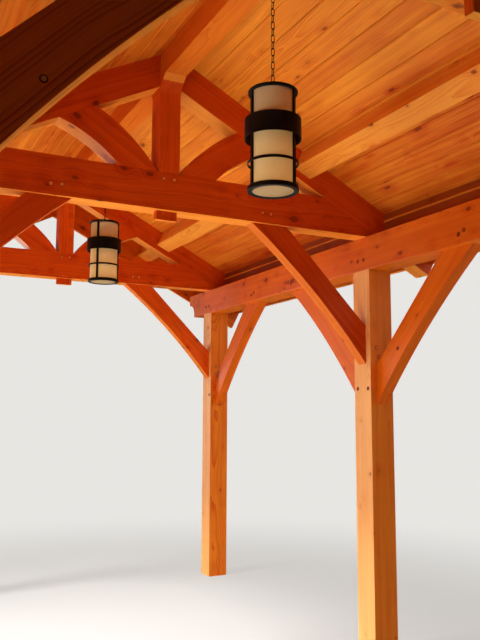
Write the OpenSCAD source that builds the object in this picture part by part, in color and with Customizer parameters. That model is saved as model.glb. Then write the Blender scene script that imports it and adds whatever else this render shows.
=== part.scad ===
// Timber porch canopy: three king post trusses on six posts, open sides, a gable with barge boards at
// the far end, and square ends at the near end, where the roof meets a wall. X runs across the canopy,
// Y from the wall to the far gable, and Z up from the feet of the posts.

/* [Bays] */
// Distance between the centre lines of the left and right posts
span = 3224; // [2900:4:3600]
// Distance from the middle truss to the far truss
far_bay = 2684; // [2500:4:3000]
// Distance from the middle truss to the near truss
near_bay = 2700; // [2500:2:3200]
// Distance from the far truss to the inner face of the barge boards
gable_overhang = 536; // [500:2:700]
// Distance from the near truss to the wall end
wall_gap = 650; // [300:10:800]
// Height of a post, which is that of the plates' undersides
post_h = 2644; // [2400:2:3000]

/* [Timbers] */
// Side of a square post
post_w = 190; // [160:2:220]
// Depth of a plate, which is as wide as a post
plate_d = 240; // [200:2:300]
// How far a plate runs past the centre of the far post
plate_tail = 474; // [420:2:480]
// Depth of a tie beam
tie_d = 240; // [200:2:280]
// Thickness of the tie beams, king posts, rafters and struts
truss_t = 140; // [120:2:160]
// Depth of a rafter
rafter_d = 190; // [160:2:220]
// Width of a king post across the truss
king_w = 140; // [120:2:160]
// How far a pendant, the end of a king post's through tenon, hangs below its tie beam
pendant_drop = 57; // [40:1:100]
// Thickness of a pendant
pendant_t = 38; // [30:1:50]
// How far a pendant lies behind the near face of its truss
pendant_set = 38; // [30:1:50]
// Plumb depth of the ridge beam at its middle
ridge_d = 188; // [160:2:240]
// Width and depth of a purlin
purlin_w = 140; // [100:2:160]
// Level distance from the ridge line to the middle of a purlin's top
purlin_x = 1045; // [960:5:1120]

/* [Braces] */
// Thickness of a knee brace
brace_t = 89; // [70:1:110]
// Depth of a knee brace at its ends
brace_d = 190; // [160:2:220]
// Leg of a tie beam brace, along the tie beam and down the post
tie_leg = 914; // [800:2:1000]
// Leg of the near truss's braces, which are shorter
near_leg = 848; // [760:2:1000]
// Leg of a plate brace, along the plate and down the post
plate_leg = 955; // [800:2:1050]
// How far a knee brace is hollowed at the middle of its underside
brace_rise = 40; // [20:1:60]
// Depth of an arched strut
strut_d = 190; // [150:2:200]
// Distance from the truss centre to the foot of a strut's underside
strut_foot = 325; // [300:1:350]
// Distance from the truss centre to the head of a strut's underside
strut_head = 700; // [650:1:750]
// Rise of the arch of a strut's underside
strut_rise = 28; // [15:1:40]

/* [Roof] */
// Pitch of the roof in degrees
pitch = 27; // [25:0.5:30]
// Width of the level seat that a rafter has on its plate
seat_w = 76; // [60:1:90]
// Level distance from a post's outer face to the top end of a rafter
eave_run = 467; // [400:1:520]
// Thickness of the ceiling boards that the roof is decked with
deck_t = 20; // [16:1:28]
// Thickness of the shingles
shingle_t = 12; // [8:1:18]
// Width of the ridge cap on each side
cap_w = 130; // [100:1:160]
// Thickness that the ridge cap adds
cap_t = 8; // [5:1:12]
// How far the shingles run past the barge boards and fascias
drip = 15; // [8:1:25]
// Thickness of the fascia at the eaves
fascia_t = 19; // [15:1:25]
// Depth of the fascia at the eaves
fascia_d = 89; // [70:1:110]
// Thickness of the frieze boards above the plates
frieze_t = 19; // [15:1:25]
// Thickness of a barge board
barge_t = 38; // [30:1:50]
// Depth of a barge board
barge_d = 286; // [240:2:300]

/* [Lanterns] */
// Distance from the middle truss to the far lantern
far_lantern = 1337; // [1200:1:1440]
// Distance from the middle truss to the near lantern
near_lantern = 1394; // [1200:1:1440]
// Height of a lantern's underside above the feet of the posts
lantern_z = 2643; // [2400:1:2700]
// Height of a lantern's body
lantern_h = 485; // [420:1:500]
// Outer radius of the frosted glass
glass_r = 105; // [90:0.5:110]
// Wall of the glass
glass_t = 4; // [3:0.5:6]
// Outer radius of the top disc
cap_r = 117; // [116:0.5:124]
// Height of the top disc
cap_h = 16; // [10:1:22]
// Outer radius of the wide band
band_r = 133; // [126:0.5:140]
// Height of the wide band
band_h = 96; // [60:1:110]
// Height of the wide band's underside above the lantern's underside
band_z = 248; // [220:1:280]
// Height of the thin ring above the lantern's underside
ring_z = 127; // [90:1:160]
// Height of the thin ring
ring_h = 13; // [8:1:18]
// Width of a flat bar
bar_w = 16; // [10:1:20]
// Radius of a ceiling rose
rose_r = 66; // [50:1:75]
// Height of a ceiling rose
rose_h = 24; // [18:1:30]
// Pitch of the chain before it is fitted to its drop
chain_pitch = 30; // [26:0.5:36]
// Diameter of the chain's wire
wire_d = 4; // [3:0.5:4.5]

/* [Hidden] */

// Places along the canopy, with the origin midway between the wall and the far end of the shingles
reach = far_bay + gable_overhang + barge_t + drip;
y_end = (near_bay + wall_gap + reach) / 2;
y_wall = -y_end;
y_mid = y_wall + wall_gap + near_bay;
y_near = y_mid - near_bay;
y_far = y_mid + far_bay;
y_barge = y_far + gable_overhang;

// Places across the canopy and heights
half = span / 2;
outer_x = half + post_w / 2;
inner_x = half - post_w / 2;
plate_top = post_h + plate_d;
heel_x = outer_x - seat_w;
apex_z = plate_top + heel_x * tan(pitch) + rafter_d / cos(pitch);
ridge_z = apex_z - ridge_d;
tie_top = plate_top + tie_d;
slope_end = (outer_x + eave_run) / cos(pitch);

// Plate end: a nose above a cove
nose_h = 104;
nose_step = 20;
cove_r = 100;

// Flare of a king post's head below the ridge beam: a bevelled lip above a steeper slope
flare_out = 90;
flare_h = 90;
lip_out = 45;
lip_h = 30;

// Flat bars, rings and band of a lantern
bar_count = 3;
far_turn = 108;
near_turn = 61;
bar_in = glass_r + 2;
bar_out = bar_in + 8;
ring_t = 5;
band_t = 2.5;
stud_r = 4;
foot_h = 22;
foot_r = cap_r + 3;
foot_lip = glass_r - 9;
lip_t = 4;
fit = 0.3;

// Chain: each link hangs in the one above, with a fine gap where they meet
link_in = 3 * wire_d;
eye_r = link_in / 2 + wire_d / 2;
rose_eye_z = ridge_z - rose_h - 4;
top_eye_z = lantern_z + lantern_h + 6;
chain_top = rose_eye_z - eye_r + wire_d / 2;
chain_low = top_eye_z + eye_r - wire_d / 2;
link_stops = 6;
wire_sides = 6;
link_count = max(3, 2 * round((chain_top - chain_low) / chain_pitch / 2) - 1);
link_pitch = (chain_top - chain_low) / link_count;

TIMBER = "chocolate";
DARK_TIMBER = "sienna";
BOARD = "sandybrown";
SHINGLE = "dimgray";
BRONZE = "black";
FROST = "wheat";

// Point of the right slope: x from the ridge line, n square to the slope above the rafters' tops
function slope_z(x, n = 0) = apex_z - x * tan(pitch) + n / cos(pitch);
function slope_point(s, n = 0) = [s * cos(pitch) + n * sin(pitch), apex_z - s * sin(pitch) + n * cos(pitch)];

// Centre of the circle through a and b whose arc rises by rise to the left of the way from a to b
function arc_radius(a, b, rise) = (norm(b - a) * norm(b - a) / 4 + rise * rise) / (2 * rise);
function left_of(a, b) = [a[1] - b[1], b[0] - a[0]] / norm(b - a);
function arc_centre(a, b, rise) = (a + b) / 2 - left_of(a, b) * (arc_radius(a, b, rise) - rise);

// Draws an outline of the X and Z axes as a solid from y0 to y1
module across(y0, y1) {
    translate([0, y1, 0])
        rotate([90, 0, 0])
            linear_extrude(y1 - y0)
                children();
}

// Draws an outline of the Y and Z axes as a solid from x0 to x1
module along(x0, x1) {
    translate([x0, 0, 0])
        rotate([90, 0, 90])
            linear_extrude(x1 - x0)
                children();
}

module on_side(side) {
    if (side < 0) mirror([1, 0, 0]) children();
    else children();
}

module truss_slice(y) {
    across(y - truss_t / 2, y + truss_t / 2) children();
}

module post(side, y) {
    color(TIMBER)
        translate([side * half - post_w / 2, y - post_w / 2, 0])
            cube([post_w, post_w, post_h]);
}

module plate_outline() {
    tail = y_far + plate_tail;
    nose_z = plate_top - nose_h;
    cove_y = tail - nose_step;
    difference() {
        translate([y_wall, post_h]) square([tail - y_wall, plate_d]);
        translate([cove_y, nose_z - cove_r]) circle(cove_r, $fn = 96);
        translate([cove_y, post_h - 1]) square([nose_step + 1, nose_z - post_h + 1]);
        translate([cove_y - cove_r, post_h - 1]) square([cove_r + 1, nose_z - cove_r - post_h + 1]);
    }
}

module plate(side) {
    color(TIMBER)
        on_side(side)
            along(inner_x, outer_x) plate_outline();
}

// A tie beam bears on the plates, and its ends are cut to the undersides of the rafters
module tie_beam(y) {
    top_x = heel_x - tie_d / tan(pitch);
    color(DARK_TIMBER)
        truss_slice(y)
            polygon([[-heel_x, plate_top], [heel_x, plate_top], [top_x, tie_top], [-top_x, tie_top]]);
}

// A king post stands on its tie beam, and its head flares out under the ridge beam
module king_post(y) {
    face = truss_t / 2;
    flare = [[0, -flare_h], [flare_out - lip_out, -lip_h], [flare_out, 0]];
    right = [for (p = flare) [y + face + p[0], ridge_z + p[1]]];
    left = [for (i = [2 : -1 : 0]) [y - face - flare[i][0], ridge_z + flare[i][1]]];
    color(DARK_TIMBER)
        along(-king_w / 2, king_w / 2)
            polygon(concat([[y - face, tie_top], [y + face, tie_top]], right, left));
}

// Each king post's tenon goes right through its tie beam, and its end shows below as a pendant
module pendants() {
    color(DARK_TIMBER)
        for (y = [y_far, y_mid, y_near])
            translate([-king_w / 2, y - truss_t / 2 + pendant_set, plate_top - pendant_drop])
                cube([king_w, pendant_t, pendant_drop]);
}

// A rafter runs from the king post to its square tail, and is notched over the plate
module rafter(side, y) {
    low = slope_point(slope_end, -rafter_d);
    high = slope_point(slope_end);
    head = king_w / 2;
    on_side(side)
        difference() {
            truss_slice(y)
                polygon([[head, slope_z(head)], high, low, [head, slope_z(head, -rafter_d)]]);
            across(y - truss_t, y + truss_t)
                translate([inner_x, post_h]) square([post_w, plate_d]);
        }
}

module rafters(y) {
    color(DARK_TIMBER)
        for (side = [-1, 1])
            rafter(side, y);
}

// An arched strut springs from the foot of the king post to the underside of the rafter
module strut(side, y) {
    foot = [strut_foot, tie_top];
    head = [strut_head, slope_z(strut_head, -rafter_d)];
    centre = arc_centre(foot, head, strut_rise);
    low_r = arc_radius(foot, head, strut_rise);
    king_x = king_w / 2;
    low_x = heel_x - tie_d / tan(pitch);
    on_side(side)
        truss_slice(y)
            intersection() {
                polygon([[king_x, tie_top], [low_x, tie_top], [king_x, slope_z(king_x, -rafter_d)]]);
                difference() {
                    translate(centre) circle(low_r + strut_d, $fn = 180);
                    translate(centre) circle(low_r, $fn = 180);
                }
            }
}

module struts(y) {
    color(DARK_TIMBER)
        for (side = [-1, 1])
            strut(side, y);
}

// Outline of a knee brace in a corner at the origin, with one leg along +x and one down
module brace_outline(leg) {
    short = leg - brace_d * sqrt(2);
    foot = [0, -leg];
    head = [leg, 0];
    difference() {
        polygon([[0, -short], foot, head, [short, 0]]);
        translate(arc_centre(foot, head, brace_rise)) circle(arc_radius(foot, head, brace_rise), $fn = 240);
    }
}

module tie_brace(side, y, leg) {
    on_side(side)
        across(y - brace_t / 2, y + brace_t / 2)
            translate([inner_x, plate_top])
                mirror([1, 0])
                    brace_outline(leg);
}

module tie_braces(y, leg = tie_leg) {
    color(DARK_TIMBER)
        for (side = [-1, 1])
            tie_brace(side, y, leg);
}

// Brace between a post at y and its plate, to the far side or the near side of the post
module plate_brace(side, y, way) {
    on_side(side)
        along(half - brace_t / 2, half + brace_t / 2)
            translate([y + way * post_w / 2, post_h])
                mirror([way < 0 ? 1 : 0, 0])
                    brace_outline(plate_leg);
}

module plate_braces(side) {
    color(TIMBER) {
        plate_brace(side, y_far, -1);
        plate_brace(side, y_mid, 1);
        plate_brace(side, y_mid, -1);
        plate_brace(side, y_near, 1);
    }
}

module ridge_beam() {
    side_x = king_w / 2;
    color(TIMBER)
        across(y_wall, y_barge)
            polygon([
                [-side_x, ridge_z], [side_x, ridge_z], [side_x, slope_z(side_x)],
                [0, apex_z], [-side_x, slope_z(side_x)]
            ]);
}

// A purlin lies square to the slope, let in between the rafters
module purlin(side) {
    middle = purlin_x / cos(pitch);
    gaps = [
        [y_wall, y_near - truss_t / 2],
        [y_near + truss_t / 2, y_mid - truss_t / 2],
        [y_mid + truss_t / 2, y_far - truss_t / 2],
        [y_far + truss_t / 2, y_barge]
    ];
    color(TIMBER)
        on_side(side)
            for (gap = gaps)
                across(gap[0], gap[1])
                    polygon([
                        slope_point(middle - purlin_w / 2), slope_point(middle + purlin_w / 2),
                        slope_point(middle + purlin_w / 2, -purlin_w), slope_point(middle - purlin_w / 2, -purlin_w)
                    ]);
}

module roof_deck(side) {
    color(BOARD)
        on_side(side)
            across(y_wall, y_barge)
                polygon([
                    [0, apex_z], slope_point(slope_end),
                    slope_point(slope_end, deck_t), [0, slope_z(0, deck_t)]
                ]);
}

// The shingles of both slopes, with a thicker cap along the ridge
module roof_covering() {
    low = deck_t;
    high = deck_t + shingle_t;
    crown = high + cap_t;
    edge = slope_end + fascia_t + drip;
    right = [
        slope_point(edge, low), slope_point(edge, high),
        slope_point(cap_w, high), slope_point(cap_w, crown)
    ];
    left = [for (i = [len(right) - 1 : -1 : 0]) [-right[i][0], right[i][1]]];
    color(SHINGLE)
        across(y_wall, y_end)
            polygon(concat([[0, slope_z(0, low)]], right, [[0, slope_z(0, crown)]], left));
}

module eave_fascias() {
    color(BOARD)
        for (side = [-1, 1])
            on_side(side)
                across(y_wall, y_barge)
                    polygon([
                        slope_point(slope_end, deck_t), slope_point(slope_end + fascia_t, deck_t),
                        slope_point(slope_end + fascia_t, deck_t - fascia_d),
                        slope_point(slope_end, deck_t - fascia_d)
                    ]);
}

module barge_board(side) {
    foot = slope_end + fascia_t;
    color(TIMBER)
        on_side(side)
            across(y_barge, y_barge + barge_t)
                polygon([
                    [0, slope_z(0, deck_t)], slope_point(foot, deck_t),
                    slope_point(foot, deck_t - barge_d), [0, slope_z(0, deck_t - barge_d)]
                ]);
}

// Boards that close the space above each plate, from one rafter to the next
module frieze_boards() {
    back = outer_x - frieze_t;
    gaps = [
        [y_wall, y_near - truss_t / 2],
        [y_near + truss_t / 2, y_mid - truss_t / 2],
        [y_mid + truss_t / 2, y_far - truss_t / 2]
    ];
    color(DARK_TIMBER)
        for (side = [-1, 1])
            on_side(side)
                for (gap = gaps)
                    across(gap[0], gap[1])
                        polygon([
                            [back, plate_top], [outer_x, plate_top],
                            [outer_x, slope_z(outer_x)], [back, slope_z(back)]
                        ]);
}

// One chain link of round wire, upright in the XZ plane, swept round its oval
function link_spot(i, run) =
    let (
        top = i < link_stops,
        turn = (top ? i : i - link_stops) * 180 / (link_stops - 1) + (top ? 0 : 180)
    )
    [turn, (top ? 1 : -1) * run / 2];

module chain_link(inner) {
    run = inner - link_in;
    rings = 2 * link_stops;
    spots = [for (i = [0 : rings - 1]) link_spot(i, run)];
    points = [
        for (spot = spots, j = [0 : wire_sides - 1])
            let (side = j * 360 / wire_sides, r = eye_r + wire_d / 2 * cos(side))
            [r * cos(spot[0]), wire_d / 2 * sin(side), spot[1] + r * sin(spot[0])]
    ];
    faces = [
        for (i = [0 : rings - 1], j = [0 : wire_sides - 1])
            let (next = (i + 1) % rings, beside = (j + 1) % wire_sides)
            [i * wire_sides + j, next * wire_sides + j, next * wire_sides + beside, i * wire_sides + beside]
    ];
    polyhedron(points, faces);
}

module lantern_chain(y) {
    inner = link_pitch + fit;
    color(BRONZE)
        for (i = [0 : link_count - 1])
            translate([0, y, chain_top - (i + 0.5) * link_pitch])
                rotate([0, 0, i % 2 == 0 ? 90 : 0])
                    chain_link(inner);
}

// Eye of round wire, upright in the XZ plane
module eye(z) {
    translate([0, 0, z])
        rotate([90, 0, 0])
            rotate_extrude($fn = 48)
                translate([eye_r, 0]) circle(d = wire_d, $fn = 24);
}

module lantern_roses() {
    color(BRONZE)
        for (y = [y_mid + far_lantern, y_mid - near_lantern])
            translate([0, y, 0]) {
                intersection() {
                    translate([0, 0, ridge_z - rose_h]) cylinder(r = rose_r, h = rose_h, $fn = 96);
                    translate([0, 0, ridge_z + rose_r * 1.2 - rose_h + 6]) sphere(rose_r * 1.3, $fn = 96);
                }
                eye(rose_eye_z);
            }
}

module ring(r_out, r_in, z, h) {
    translate([0, 0, z])
        difference() {
            cylinder(r = r_out, h = h, $fn = 96);
            translate([0, 0, -1]) cylinder(r = r_in, h = h + 2, $fn = 96);
        }
}

// The frame's bars stand evenly round the glass, the first of them at the angle turn from +X
module lantern_frame(y, turn) {
    bar_low = lantern_z + foot_h / 2;
    bar_high = lantern_z + lantern_h - cap_h / 2;
    color(BRONZE)
        translate([0, y, 0]) {
            translate([0, 0, lantern_z + lantern_h - cap_h]) cylinder(r = cap_r, h = cap_h, $fn = 96);
            ring(foot_r, bar_in - 1, lantern_z, foot_h);
            ring(foot_r, foot_lip, lantern_z, lip_t);
            ring(bar_out + ring_t, bar_out, lantern_z + ring_z, ring_h);
            for (i = [0 : bar_count - 1])
                rotate([0, 0, turn + i * 360 / bar_count]) {
                    translate([bar_in, -bar_w / 2, bar_low]) cube([bar_out - bar_in + 0.5, bar_w, bar_high - bar_low]);
                    difference() {
                        translate([bar_out - 1, 0, lantern_z + band_z + band_h / 2])
                            rotate([0, 90, 0])
                                cylinder(r = stud_r, h = band_r - bar_out, $fn = 24);
                        translate([0, 0, lantern_z + band_z])
                            ring(band_r + 5, band_r - band_t, 0, band_h);
                    }
                }
            eye(top_eye_z);
        }
}

module lantern_band(y) {
    color(BRONZE)
        translate([0, y, 0])
            ring(band_r, band_r - band_t, lantern_z + band_z, band_h);
}

// Frosted cup that stands on the lip of the bottom ring and reaches the top disc
module lantern_glass(y) {
    low = lantern_z + lip_t;
    high = lantern_z + lantern_h - cap_h;
    color(FROST)
        translate([0, y, 0])
            difference() {
                translate([0, 0, low]) cylinder(r = glass_r, h = high - low, $fn = 96);
                translate([0, 0, low + glass_t]) cylinder(r = glass_r - glass_t, h = high - low, $fn = 96);
            }
}

post(-1, y_far);  // post_far_left
post(1, y_far);  // post_far_right
post(-1, y_mid);  // post_middle_left
post(1, y_mid);  // post_middle_right
post(-1, y_near);  // post_near_left
post(1, y_near);  // post_near_right
plate(-1);  // plate_left
plate(1);  // plate_right
tie_beam(y_far);  // tie_beam_far
tie_beam(y_mid);  // tie_beam_middle
tie_beam(y_near);  // tie_beam_near
king_post(y_far);  // king_post_far
king_post(y_mid);  // king_post_middle
king_post(y_near);  // king_post_near
pendants();  // truss_pendants
rafters(y_far);  // rafters_far
rafters(y_mid);  // rafters_middle
rafters(y_near);  // rafters_near
struts(y_far);  // struts_far
struts(y_mid);  // struts_middle
struts(y_near);  // struts_near
tie_braces(y_far);  // tie_braces_far
tie_braces(y_mid);  // tie_braces_middle
tie_braces(y_near, near_leg);  // tie_braces_near
plate_braces(-1);  // plate_braces_left
plate_braces(1);  // plate_braces_right
ridge_beam();
purlin(-1);  // purlin_left
purlin(1);  // purlin_right
roof_deck(-1);  // roof_deck_left
roof_deck(1);  // roof_deck_right
roof_covering();
eave_fascias();
barge_board(-1);  // barge_board_left
barge_board(1);  // barge_board_right
frieze_boards();
lantern_roses();
lantern_chain(y_mid + far_lantern);  // lantern_far_chain
lantern_frame(y_mid + far_lantern, far_turn);  // lantern_far_frame
lantern_band(y_mid + far_lantern);  // lantern_far_band
lantern_glass(y_mid + far_lantern);  // lantern_far_glass
lantern_chain(y_mid - near_lantern);  // lantern_near_chain
lantern_frame(y_mid - near_lantern, near_turn);  // lantern_near_frame
lantern_band(y_mid - near_lantern);  // lantern_near_band
lantern_glass(y_mid - near_lantern);  // lantern_near_glass
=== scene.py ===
import math
import random

import bmesh
import bpy
from mathutils import Matrix, Vector


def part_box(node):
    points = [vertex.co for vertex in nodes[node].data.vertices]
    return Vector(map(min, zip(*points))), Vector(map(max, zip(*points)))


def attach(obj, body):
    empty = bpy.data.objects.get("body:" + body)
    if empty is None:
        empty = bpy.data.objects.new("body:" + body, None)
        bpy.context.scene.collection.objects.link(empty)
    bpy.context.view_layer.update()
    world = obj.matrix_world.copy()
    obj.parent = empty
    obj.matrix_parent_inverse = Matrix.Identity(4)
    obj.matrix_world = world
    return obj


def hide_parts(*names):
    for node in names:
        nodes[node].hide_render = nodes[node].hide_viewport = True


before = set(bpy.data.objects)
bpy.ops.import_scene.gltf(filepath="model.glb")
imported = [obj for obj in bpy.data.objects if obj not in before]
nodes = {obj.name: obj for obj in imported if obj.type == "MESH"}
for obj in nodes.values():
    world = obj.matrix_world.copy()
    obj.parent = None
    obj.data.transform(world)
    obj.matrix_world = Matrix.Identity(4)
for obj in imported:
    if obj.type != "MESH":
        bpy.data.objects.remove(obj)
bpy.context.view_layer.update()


# Camera. It stands at eye height just behind the near end, in line with the left posts, and looks a
# little up and across to the right row of posts.
PHOTO_WIDTH, PHOTO_HEIGHT = 480, 640
FOCAL_PIXELS = 730.83
CAMERA_PLACE = (-1.6136, -4.2062, 1.6467)
RIGHTWARDS, UPWARDS, ROLL = 26.886, 6.994, 0.2247
camera_data = bpy.data.cameras.new("camera")
camera_data.sensor_width = 36.0
camera_data.lens = FOCAL_PIXELS / max(PHOTO_WIDTH, PHOTO_HEIGHT) * camera_data.sensor_width
camera_data.clip_end = 200.0
camera = bpy.data.objects.new("camera", camera_data)
camera.matrix_world = (
    Matrix.Translation(CAMERA_PLACE)
    @ Matrix.Rotation(math.radians(-RIGHTWARDS), 4, "Z")
    @ Matrix.Rotation(math.radians(90.0 + UPWARDS), 4, "X")
    @ Matrix.Rotation(math.radians(ROLL), 4, "Z")
)
bpy.context.scene.collection.objects.link(camera)
bpy.context.scene.camera = camera


# Posts. Six square posts of fir, sawn from near the heart of the log, planed, and oiled with an orange
# stain. Their arrises are eased with a chamfer, and the heartwood has split in a few long fine cracks.
class Wire:
    """One output socket of a node. Python's operators on it add Math nodes to its tree."""

    def __init__(self, tree, socket=None):
        self.tree = tree
        self.socket = socket

    def node(self, kind, settings=(), inputs=(), out=0):
        """Adds a node, sets its settings and then its sockets, and returns one of its outputs."""
        made = self.tree.nodes.new(kind)
        for name, value in dict(settings).items():
            setattr(made, name, value)
        for name, value in dict(inputs).items():
            if isinstance(value, Wire):
                self.tree.links.new(value.socket, made.inputs[name])
            else:
                made.inputs[name].default_value = value
        return Wire(self.tree, made.outputs[out])

    def also(self, out):
        """Another output of the same node."""
        return Wire(self.tree, self.socket.node.outputs[out])

    def math(self, operation, first, second=0.0):
        return self.node("ShaderNodeMath", {"operation": operation}, {0: first, 1: second})

    def __add__(self, other):
        return self.math("ADD", self, other)

    def __radd__(self, other):
        return self.math("ADD", other, self)

    def __sub__(self, other):
        return self.math("SUBTRACT", self, other)

    def __rsub__(self, other):
        return self.math("SUBTRACT", other, self)

    def __mul__(self, other):
        return self.math("MULTIPLY", self, other)

    def __rmul__(self, other):
        return self.math("MULTIPLY", other, self)

    def __truediv__(self, other):
        return self.math("DIVIDE", self, other)

    def __pow__(self, other):
        return self.math("POWER", self, other)

    def between(self, low, high):
        """A smooth step from 0 at low to 1 at high, where low may be the higher number."""
        settings = {"interpolation_type": "SMOOTHSTEP"}
        return self.node("ShaderNodeMapRange", settings, {"Value": self, "From Min": low, "From Max": high})

    def vector(self, x, y, z):
        return self.node("ShaderNodeCombineXYZ", (), {"X": x, "Y": y, "Z": z})

    def noise(self, place, scale=1.0, detail=3.0):
        return self.node("ShaderNodeTexNoise", (), {"Vector": place, "Scale": scale, "Detail": detail})

    def blend(self, factor, first, second):
        """Mixes two colours."""
        return self.node("ShaderNodeMix", {"data_type": "RGBA"}, {0: factor, 6: first, 7: second}, out=2)

    def bump(self, height, distance, strength=0.5):
        values = {"Strength": strength, "Distance": distance, "Height": height}
        return self.node("ShaderNodeBump", (), values)


def paint(red, green, blue):
    """A colour as a screen shows it, each part from 0 to 255, as the linear colour that a shader takes."""
    parts = [value / 255.0 for value in (red, green, blue)]
    return (*(p / 12.92 if p <= 0.04045 else ((p + 0.055) / 1.055) ** 2.4 for p in parts), 1.0)


def surface(name, roughness, coat=0.0, metallic=0.0):
    """A new material: its Principled shader, and a wire in its tree."""
    material = bpy.data.materials.new(name)
    material.use_nodes = True
    shader = material.node_tree.nodes["Principled BSDF"]
    shader.inputs["Roughness"].default_value = roughness
    shader.inputs["Metallic"].default_value = metallic
    shader.inputs["Coat Weight"].default_value = coat
    shader.inputs["Coat Roughness"].default_value = 0.35
    return material, shader, Wire(material.node_tree)


def feed(shader, **wires):
    """Links wires to the shader's sockets, with _ in their names for each space."""
    for name, wire in wires.items():
        wire.tree.links.new(wire.socket, shader.inputs[name.replace("_", " ")])


KNOT_HEART, KNOT_RIM = paint(138, 52, 16), paint(84, 26, 7)


def wood(
    name,
    pale,
    deep,
    ring=0.007,
    figure=0.42,
    knot_cells=(5.0, 8.0, 8.0),
    knot_size=1.0,
    cracks=0.5,
    lit_colours=None,
):
    """Stained softwood. Each timber brings its own place in the log in the attribute grain, with the
    fibres along x and the pith at y = z = 0, its shade in tone, and its chamfers in arris. Faces
    marked as lit take lighter colours: painted light on the faces that the light falls on."""
    material, shader, wire = surface(name, 0.42)
    shader.inputs["Specular IOR Level"].default_value = 0.1
    place = wire.node("ShaderNodeAttribute", {"attribute_name": "grain"}, out="Vector")
    tone = wire.node("ShaderNodeAttribute", {"attribute_name": "tone"}, out="Fac")
    arris = wire.node("ShaderNodeAttribute", {"attribute_name": "arris"}, out="Fac")
    along = wire.node("ShaderNodeSeparateXYZ", (), {0: place})
    across, up = along.also("Y"), along.also("Z")

    # Knots are balls scattered through the log, and show where a face of the timber cuts one
    cells = wire.vector(along * knot_cells[0], across * knot_cells[1], up * knot_cells[2])
    found = wire.node("ShaderNodeTexVoronoi", (), {"Vector": cells, "Scale": 1.0})
    draw = wire.node("ShaderNodeSeparateColor", (), {0: found.also("Color")})
    radius = (draw * draw * 0.13 + 0.035) * knot_size
    reach = found / radius + (wire.noise(cells, 7.0, 2.0) - 0.5) * 0.8
    inside = reach.between(1.3, 0.6)
    rim = inside * reach.between(0.3, 0.85)
    halo = reach.between(4.0, 0.9)

    # Growth rings lie round the pith, which wanders along the log, and they swell round the knots
    slow = wire.noise(wire.vector(along * 0.9, across * 2.0, up * 2.0), 1.0, 2.0)
    wander = wire.node("ShaderNodeSeparateColor", (), {0: slow.also("Color")})
    ring_y = across + (wander - 0.5) * 0.08
    ring_z = up + (wander.also("Green") - 0.5) * 0.08
    pith = wire.math("SQRT", ring_y * ring_y + ring_z * ring_z)
    ripple = wire.noise(wire.vector(along * 2.5, across * 14.0, up * 14.0))
    years = (pith + halo * 0.012) / ring + ripple * 1.6
    strong_years = wire.noise(wire.vector(pith * 55.0, 0.0, tone * 9.0)).between(0.3, 0.7)
    late = wire.math("FRACT", years) ** 2.6 * strong_years

    # Fine fibres, streaks, broad blotches of stain, and drying cracks along the grain
    fibre = wire.noise(wire.vector(along * 5.0, across * 260.0, up * 260.0), 1.0, 2.0)
    streak = wire.noise(wire.vector(along * 1.3, across * 32.0, up * 32.0))
    blotch = wire.noise(wire.vector(along * 1.7, across * 5.0, up * 5.0))
    wave = wire.noise(wire.vector(along * 0.5, across * 11.0, up * 11.0), 1.0, 1.5)
    line = wire.math("ABSOLUTE", wave - 0.5)
    opened = wire.noise(wire.vector(along * 0.7, across * 3.0, up * 3.0), 1.3, 1.0).between(0.58, 0.68)
    crack = line.between(0.0045, 0.0015) * opened * cracks

    darkness = late * figure + (fibre - 0.5) * 0.34 + (streak - 0.5) * 0.7 + (blotch - 0.5) * 0.5
    light, dark = pale, deep
    # Faces marked as lit take the lighter colours: painted light where light falls on them.
    if lit_colours:
        lit_face = wire.node("ShaderNodeAttribute", {"attribute_name": "pale_side"}, out="Fac")
        light, dark = wire.blend(lit_face, pale, lit_colours[0]), wire.blend(lit_face, deep, lit_colours[1])
    colour = wire.blend(darkness + tone * 0.16 + halo * 0.22 + 0.3, light, dark)
    knot = wire.blend(wire.math("FRACT", reach * 3.0) * 0.25 + rim * 0.55, KNOT_HEART, KNOT_RIM)
    colour = wire.blend(inside * 0.85, colour, knot)
    colour = wire.blend(crack * 0.85, colour, (0.03, 0.01, 0.004, 1.0))
    worn = arris * wire.noise(wire.vector(along * 9.0, across * 30.0, up * 30.0)).between(0.35, 0.6)
    colour = wire.blend(worn * 0.3, colour, tuple(0.6 * part + 0.14 for part in pale[:3]) + (1.0,))
    height = fibre * 0.25 + late * 0.3 + inside * 0.3 - rim * 0.5 - crack * 2.0 + streak * 0.4
    rough = 0.4 + fibre * 0.12 + late * 0.06 + crack * 0.3 + worn * 0.15
    feed(shader, Base_Color=colour, Roughness=rough, Normal=wire.bump(height, 0.0012))
    return material


def keep(name, mesh, material, stands_for=()):
    """Makes a piece of a finished mesh and ties it to the CAD model."""
    mesh.materials.clear()
    mesh.materials.append(material)
    mesh.polygons.foreach_set("use_smooth", [True] * len(mesh.polygons))
    mesh.set_sharp_from_angle(angle=math.radians(22.0))
    piece = bpy.data.objects.new(name, mesh)
    bpy.context.scene.collection.objects.link(piece)
    if stands_for:
        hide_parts(*stands_for)
    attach(piece, "root")
    return piece


def timbers_of(work):
    """The separate timbers of a bmesh, each as a list of its vertices."""
    left, timbers = set(work.verts), []
    while left:
        timber, search = set(), [min(left, key=lambda vertex: vertex.index)]
        while search:
            vertex = search.pop()
            if vertex not in timber:
                timber.add(vertex)
                search += [edge.other_vert(vertex) for edge in vertex.link_edges]
        left -= timber
        timbers.append(sorted(timber, key=lambda vertex: vertex.index))
    return timbers


DOWN, LEFT = Vector((0.0, 0.0, -1.0)), Vector((-1.0, 0.0, 0.0))
SHARP_ARRIS = math.radians(28.0)


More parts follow.
